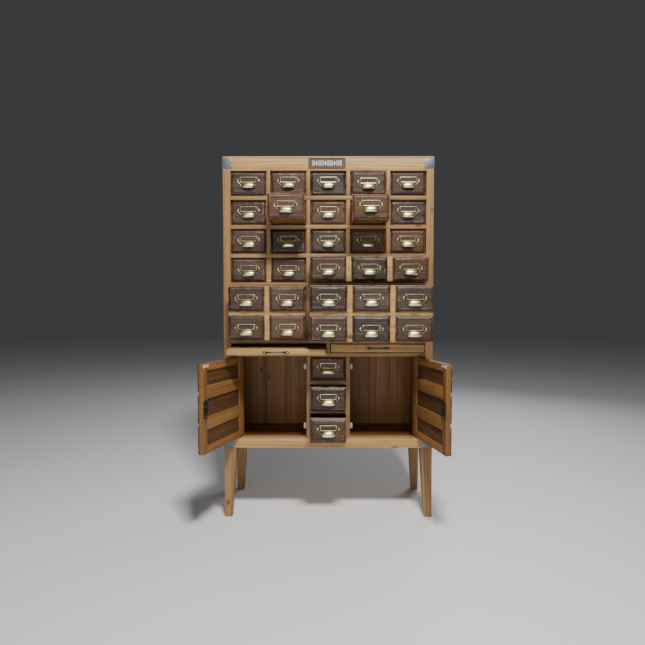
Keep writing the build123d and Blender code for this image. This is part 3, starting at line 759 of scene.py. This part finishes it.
# --- doors ----------------------------------------------------------------------------------
DOOR_INNER = 0.012          # faces of the frame, from the pivot line; the outside is negative
DOOR_OUTER = -0.009
DOOR_HINGE_STILE = 0.043
DOOR_FREE_STILE = 0.034
DOOR_RAILS = (0.034, 0.056, 0.057, 0.032)
DOOR_PANELS = (0.069, 0.077, 0.064)
DOOR_PANEL = 0.015
DOOR_FIELD = -0.020
DOOR_BEVEL = 0.005
DOOR_EDGE_GAP = 0.0035
RAIL_SET_BACK = 0.0006      # rails behind the stiles, on the inner face
DOOR_PULL_SHIFT = 0.009
PLANTED_INSETS = (0.004, 0.002)          # from the hinge edge and from the free edge
PLANTED_STRIPS = (0.018, 0.017)

joints = {joint["child"]: joint for joint in frame["joints"]}
inner_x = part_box("drawer_grid")[1][0]
partition_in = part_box("centre_drawer_top")[1][0] + GAP
partition_out = partition_in + BOARD


def split_evenly(low, high, count, strip):
    size = (high - low - (count - 1) * strip) / count
    return [(low + i * (size + strip), low + i * (size + strip) + size) for i in range(count)]


def door(node):
    """A framed door with dark panels, planted fronts and pulls outside, plates inside."""
    joint = joints[node]
    pivot = Vector(joint["pos_m"])
    side = math.copysign(1, pivot.x)
    closed = max(joint["range_deg"], key=abs)
    place = (Matrix.Translation((pivot.x, pivot.y, 0)) @ Matrix.Rotation(math.radians(-closed), 4, "Z"))
    z0, z1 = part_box(node)[0][2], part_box(node)[1][2]
    hinge = side * (inner_x - DOOR_EDGE_GAP) - pivot.x
    free = side * (partition_out + DOOR_EDGE_GAP) - pivot.x
    stile_in, free_in = hinge - side * DOOR_HINGE_STILE, free + side * DOOR_FREE_STILE
    framing, panels, fronts, handles = Solids(), Solids(), Solids(), Solids()
    for edge, inside in ((hinge, stile_in), (free, free_in)):
        board(framing, (edge, DOOR_OUTER, z0), (inside, DOOR_INNER, z1), ease=0.0015)
    low, start, end = z0, stile_in - side * JOINT, free_in + side * JOINT
    for rail, panel in zip(DOOR_RAILS, (*DOOR_PANELS, 0)):
        rail_top = low + rail
        board(framing, (start, DOOR_OUTER, low), (end, DOOR_INNER - RAIL_SET_BACK, rail_top), ease=0.0015)
        if panel:
            corner = (end, DOOR_OUTER + DOOR_PANEL, rail_top + panel)
            board(panels, (start, DOOR_OUTER, rail_top), corner, ease=0.0005)
        low = rail_top + panel
    across = sorted((hinge - side * PLANTED_INSETS[0], free + side * PLANTED_INSETS[1]))
    edge = DOOR_OUTER - DOOR_FIELD - DOOR_BEVEL - JOINT
    for left, right in split_evenly(*across, 2, PLANTED_STRIPS[0]):
        for bottom, top in split_evenly(z0 + 0.002, z1 - 0.002, 3, PLANTED_STRIPS[1]):
            middle_x, middle_z = (left + right) / 2, (bottom + top) / 2
            raised_front(fronts, right - left, top - bottom, edge, DOOR_BEVEL,
                         facing(middle_x, DOOR_OUTER - JOINT, middle_z))
            add_pull(handles, facing(middle_x - side * DOOR_PULL_SHIFT, DOOR_FIELD, middle_z + PULL_RISE))
    framing.piece(f"{node}_frame", PINE_BROWN_AND_SHADE, node, "pine", [node], place)
    panels.piece(f"{node}_panels", PANEL, node, "dark_fronts", [node], place)
    fronts.piece(f"{node}_planted_fronts", DARK, node, "dark_fronts", [node], place)
    handles.piece(f"{node}_pulls_brass", BRASS, node, "aged_brass", [f"{node}_fittings"], place)
    inner_plates(node, side, free, (z0, z1), place)


def inner_plates(node, side, free, rise, place):
    """The bright strike plate and the black round-ended lock plate on the door's inner face."""
    inside = lambda x, z: (lambda across, up, out: (x + across, DOOR_INNER + out, z + up))
    strike = Solids()
    board(strike, (free + side * 0.003, DOOR_INNER, rise[1] - 0.018),
          (free + side * 0.045, DOOR_INNER + 0.0014, rise[1] - 0.004), ease=0.0004)
    for across in (0.010, 0.038):
        add_turned(strike, inside(free + side * across, rise[1] - 0.011), nail_head(0.0026, 0.0026), 0.5, 14)
    strike.piece(f"{node}_strike_plate", STRIKE, node, "aged_brass", [f"{node}_fittings"], place)
    lock, screws = Solids(), Solids()
    x, z = free + side * DOOR_FREE_STILE / 2, sum(rise) / 2
    outline = arc(0, 0.025, 0.014, 0, 180, 13) + arc(0, -0.025, 0.014, 180, 360, 13)
    verts, faces = plate([outline], 0.0048, 0.0006)
    put = inside(x, z)
    lock.add([put(*v) for v in verts], faces, verts + draw.uniform(-3, 3), np.full(len(verts), 0.4))
    lock.piece(f"{node}_lock_plate", IRON, node, "aged_brass", [f"{node}_fittings"], place)
    for up in (-0.028, 0.012):
        put = inside(x, z + up)
        add_turned(screws, lambda a, b, out: put(a, b, out + 0.0046), nail_head(0.0032, 0.0016), 0.2, 16)
    screws.piece(f"{node}_lock_screws", NAIL, node, "aged_brass", [f"{node}_fittings"], place)


for node in ("door_left", "door_right"):
    door(node)


# --- carcass --------------------------------------------------------------------------------
SIDE_FRAME = 0.060
SIDE_SUNK = 0.006
SIDE_PLANKS = 3
BACK_PLANKS = 8
BASE_RAIL_DEPTH = 0.050
TOP_BOARD = 0.009
low, high = (np.array(corner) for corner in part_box("side_panels"))
front_y, back_y = low[1], high[1]
outer_x = high[0]
carcass_low, side_high = low[2], high[2]
inner_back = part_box("back_panel")[0][1]
rail_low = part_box("drawer_r1c1")[1][2] + GAP
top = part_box("top_board")[1][2]
cupboard_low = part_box("base_frame")[1][2]
floor_high = cupboard_low - BOARD

lid, rail = Solids(), Solids()
for (y0, y1), soft in zip(split_evenly(front_y, back_y, 3, 0.0), (0.0018, 0.0008, 0.0018)):
    board(lid, (-outer_x, y0, top - TOP_BOARD), (outer_x, y1, top), ease=soft)
lid.piece("top_planks", PINE, "root", "pine", ["top_board"])
board(rail, (-inner_x, front_y, rail_low), (inner_x, front_y + BOARD, top - TOP_BOARD - JOINT))
rail.piece("top_rail", PINE, "root", "pine", ["top_board"])

for side, name in ((-1, "left"), (1, "right")):
    panel = Solids()
    inside, outside = side * (inner_x + JOINT), side * outer_x
    for y0, y1 in ((front_y, front_y + SIDE_FRAME), (back_y - SIDE_FRAME, back_y)):
        board(panel, (inside, y0, carcass_low), (outside, y1, side_high), ease=0.0018)
    for z0, z1 in ((carcass_low, carcass_low + SIDE_FRAME), (side_high - SIDE_FRAME, side_high)):
        board(panel, (inside, front_y + SIDE_FRAME, z0), (outside, back_y - SIDE_FRAME, z1), ease=0.0012)
    for y0, y1 in split_evenly(front_y + SIDE_FRAME, back_y - SIDE_FRAME, SIDE_PLANKS, 0.0):
        board(panel, (inside, y0, carcass_low + SIDE_FRAME),
              (side * (outer_x - SIDE_SUNK), y1, side_high - SIDE_FRAME), ease=0.0015)
    panel.piece(f"side_{name}", PINE_FRAME_SHADED, "root", "pine", ["side_panels"])

shelves, dividers, partitions = Solids(), Solids(), Solids()
above_shelves = ("drawer_r1c1", "drawer_r2c1", "drawer_r3c1",
                 "wide_drawer_left", "deep_drawer_left", "slide_left")
shelf_tops = [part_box(node)[0][2] - GAP for node in above_shelves]
for shelf_top in shelf_tops:
    board(shelves, (-inner_x, front_y, shelf_top - BOARD), (inner_x, inner_back - JOINT, shelf_top), along=0)
shelves.piece("shelves", PINE_FRAME_SHADED, "root", "pine", ["drawer_grid"])


def upright(x, bottom, ceiling):
    """A divider between two shelves, centred on x."""
    board(dividers, (x - BOARD / 2, front_y, bottom + JOINT),
          (x + BOARD / 2, inner_back - JOINT, ceiling - JOINT), along=1)


limits = column_limits()
ceilings = [rail_low] + [shelf_top - BOARD for shelf_top in shelf_tops]
for row in range(3):
    for n in range(COLUMNS - 1):
        upright((limits[n][1] + limits[n + 1][0]) / 2, shelf_tops[row], ceilings[row])
wide_divider = (limits[1][1] + limits[2][0]) / 2
for row in (3, 4):
    upright(wide_divider, shelf_tops[row], ceilings[row])
upright(0.0, shelf_tops[5], ceilings[5])
dividers.piece("dividers", PINE_FRAME_SHADED, "root", "pine", ["drawer_grid"])

cupboard_high = shelf_tops[5] - BOARD
rail_back = front_y + BASE_RAIL_DEPTH
for side in (-1, 1):
    board(partitions, (side * partition_in, front_y, cupboard_low + JOINT),
          (side * partition_out, rail_back, cupboard_high - JOINT), along=2)
    board(partitions, (side * partition_in, rail_back, floor_high + JOINT),
          (side * partition_out, inner_back - JOINT, cupboard_high - JOINT), along=2)
board(partitions, (-partition_in, rail_back + JOINT, floor_high + JOINT),
      (partition_in, inner_back - JOINT, cupboard_low))
for node in ("centre_drawer_top", "centre_drawer_middle"):
    shelf_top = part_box(node)[0][2] - GAP
    board(partitions, (-partition_in, front_y, shelf_top - BOARD),
          (partition_in, inner_back - JOINT, shelf_top), along=0)
partitions.piece("cupboard_partitions", PINE_FRAME_SHADED, "root", "pine", ["drawer_grid"])

base, floor_boards = Solids(), Solids()
board(base, (-inner_x, front_y, carcass_low), (inner_x, rail_back, cupboard_low), ease=0.0018)
base.piece("base_rail", PINE, "root", "pine", ["base_frame"])
for y0, y1 in split_evenly(rail_back + JOINT, inner_back - JOINT, 3, 0.0):
    board(floor_boards, (-inner_x, y0, floor_high - BOARD), (inner_x, y1, floor_high), along=0)
floor_boards.piece("cupboard_floor", PINE_BROWN_AND_SHADE, "root", "pine", ["base_frame"])

planks = Solids()
for x0, x1 in split_evenly(-inner_x, inner_x, BACK_PLANKS, 0.0006):
    board(planks, (x0, inner_back, carcass_low), (x1, back_y, side_high), ease=0.0018, cut_every=0.15)
planks.piece("back_planks", PINE_BROWN_AND_SHADE, "root", "pine", ["back_panel"])

legs = Solids()
leg_low, leg_high = (np.array(corner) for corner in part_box("legs"))
LEG_TOP, LEG_FOOT = 0.056, 0.035
leg_height = leg_high[2] - leg_low[2]
for side in (-1, 1):
    for end in (-1, 1):
        verts, faces = eased_box((LEG_TOP, LEG_TOP, leg_height), 0.0022, (1, 1, 5))
        grain = grain_of(verts, 2)
        share = (leg_high[2] - (verts[:, 2] + leg_high[2] - leg_height / 2)) / leg_height
        scale = 1 - share * (1 - LEG_FOOT / LEG_TOP)
        x = side * leg_high[0] + (verts[:, 0] - side * LEG_TOP / 2) * scale
        y = end * leg_high[1] + (verts[:, 1] - end * LEG_TOP / 2) * scale
        legs.add(np.stack([x, y, verts[:, 2] + leg_high[2] - leg_height / 2], 1), faces, grain)
legs.piece("tapered_legs", PINE_FRAME_SHADED, "root", "pine", ["legs"])


# --- fittings of the carcass ----------------------------------------------------------------
BRACKET = 0.046
BRACKET_HIGH = 0.048
BRACKET_THICK = 0.0015
brackets, nails = Solids(), Solids()
for side in (-1, 1):
    for z0 in (carcass_low, top - TOP_BOARD - BRACKET_HIGH):
        board(brackets, (side * (outer_x - BRACKET), front_y - BRACKET_THICK, z0),
              (side * (outer_x + BRACKET_THICK), front_y, z0 + BRACKET_HIGH), ease=0.0006, warp=0)
        board(brackets, (side * outer_x, front_y, z0),
              (side * (outer_x + BRACKET_THICK), front_y + BRACKET, z0 + BRACKET_HIGH), ease=0.0006, warp=0)
        for up in (0.25, 0.75):
            x, z = side * (outer_x - BRACKET + 0.006), z0 + up * BRACKET_HIGH
            add_turned(nails, facing(x, front_y - BRACKET_THICK, z), nail_head(0.003, 0.0015))
brackets.piece("corner_brackets", STEEL, "root", "dark_iron", ["carcass_fittings"])
nails.piece("bracket_nails", NAIL, "root", "dark_iron", ["carcass_fittings"])

catches, pins = Solids(), Solids()
CATCH_SIZE = (0.015, 0.015, 0.027)
CATCH_SET_BACK = 0.037
CATCH_LEVELS = (0.436, 0.727)
for side in (-1, 1):
    for z in CATCH_LEVELS:
        x0, y0, half = side * partition_out, front_y + CATCH_SET_BACK, CATCH_SIZE[2] / 2
        board(catches, (x0, y0, z - half), (x0 + side * CATCH_SIZE[0], y0 + CATCH_SIZE[1], z + half),
              ease=0.0016, warp=0)
catches.piece("door_catches", CATCH, "root", "dark_iron", ["carcass_fittings"])
for node in ("door_left", "door_right"):
    pivot = joints[node]["pos_m"]
    for z0, z1 in ((cupboard_low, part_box(node)[0][2] + 0.011), (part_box(node)[1][2] - 0.011, cupboard_high)):
        profile = [(0.0035, 0.0), (0.004, 0.0005), (0.004, z1 - z0 - 0.0005), (0.0035, z1 - z0)]
        add_turned(pins, lambda x, y, out: (pivot[0] + x, pivot[1] + y, z0 + out), profile, 0.4, 20)
pins.piece("pivot_pins", NAIL, "root", "dark_iron", ["carcass_fittings"])


def name_plate():
    """A cast plate with a raised border and a row of bars and lozenges in place of lettering."""
    low, high = (np.array(corner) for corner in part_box("name_plate"))
    width, height, thick = high[0] - low[0], high[2] - low[2], high[1] - low[1]
    put = facing((low[0] + high[0]) / 2, high[1], (low[2] + high[2]) / 2)
    cast = Solids()

    def relief(outlines, base, rise, worn):
        verts, faces = plate(outlines, rise, min(0.0004, rise * 0.4))
        verts = verts + np.array([0, 0, base])
        top_share = np.clip((verts[:, 2] - base) / rise, 0, 1)
        cast.add([put(*v) for v in verts], faces, verts, top_share * worn)

    ground = thick * 0.5
    outline = rectangle(0, 0, width, height, 0.004)
    relief([outline], 0.0, ground, 0.1)
    relief([outline, rectangle(0, 0, width - 0.005, height - 0.005, 0.003)], ground, thick - ground, 0.55)
    pitch, motifs = 0.0142, 10
    for n in range(motifs):
        x = (n - (motifs - 1) / 2) * pitch
        if n % 3 == 1:
            lozenge = [(x - 0.0048, 0), (x, -0.0135), (x + 0.0048, 0), (x, 0.0135)]
            relief([rounded(lozenge, 0.001, 2)], ground, thick - ground, 1.0)
        else:
            for shift in (-0.0030, 0.0030):
                relief([rectangle(x + shift, 0, 0.0030, 0.026, 0.0008)], ground, thick - ground, 1.0)
    cast.piece("name_plate_cast", CAST, "root", "bronze_plate", ["name_plate"])


name_plate()


# --- camera, floor and light ----------------------------------------------------------------
FOCAL_PX, FRAME_PX = 491.9, 645
camera = bpy.data.cameras.new("camera")
camera.sensor_width = 36
camera.lens = FOCAL_PX / FRAME_PX * camera.sensor_width
camera.clip_end = 50
camera_object = bpy.data.objects.new("camera", camera)
heading = Matrix.Rotation(0.0035, 4, "Z") @ Matrix.Rotation(math.pi / 2 - 0.0351, 4, "X")
camera_object.matrix_world = Matrix.Translation((-0.0191, front_y - 2.3487, 1.0247)) @ heading
bpy.context.scene.collection.objects.link(camera_object)
bpy.context.scene.camera = camera_object


def painted_floor():
    """Pale painted boards, plain and matt."""
    shader = Shader("pale_floor")
    place = shader.node("ShaderNodeTexCoord").outputs["Object"]
    cloud = shader.noise((1.2, 1.2, 1.2), detail=3, source=place)
    shader.set(Base_Color=shader.mix(cloud, (0.83, 0.84, 0.85), (0.88, 0.89, 0.90)), Roughness=0.6)
    return shader.material


ground = bpy.data.meshes.new("floor")
FLOOR_HALF = 12.0
ground.from_pydata([(x, y, 0) for x, y in ((-1, -1), (1, -1), (1, 1), (-1, 1))], [], [(0, 1, 2, 3)])
ground.transform(Matrix.Scale(FLOOR_HALF, 4))
ground.materials.append(painted_floor())
floor = bpy.data.objects.new("floor", ground)
bpy.context.scene.collection.objects.link(floor)


def soft_light(name, place, target, size, power, colour=(1, 1, 1)):
    light = bpy.data.lights.new(name, "AREA")
    light.shape = "RECTANGLE"
    light.size, light.size_y = size
    light.energy = power
    light.color = colour
    holder = bpy.data.objects.new(name, light)
    aim = (Vector(target) - Vector(place)).to_track_quat("-Z", "Y")
    holder.matrix_world = Matrix.Translation(place) @ aim.to_matrix().to_4x4()
    bpy.context.scene.collection.objects.link(holder)


soft_light("key", (0.35, -2.3, 3.7), (0, -0.2, 0.7), (0.6, 0.45), 185, (1.0, 0.98, 0.94))
soft_light("front", (-0.5, -4.2, 0.95), (0, 0, 0.95), (2.8, 0.8), 42)
soft_light("back", (1.8, 2.4, 2.4), (0, 0, 1.0), (1.6, 1.6), 30)

world = bpy.data.worlds.new("studio")
world.use_nodes = True
world.node_tree.nodes["Background"].inputs["Color"].default_value = (0.80, 0.83, 0.88, 1)
world.node_tree.nodes["Background"].inputs["Strength"].default_value = 0.06
bpy.context.scene.world = world
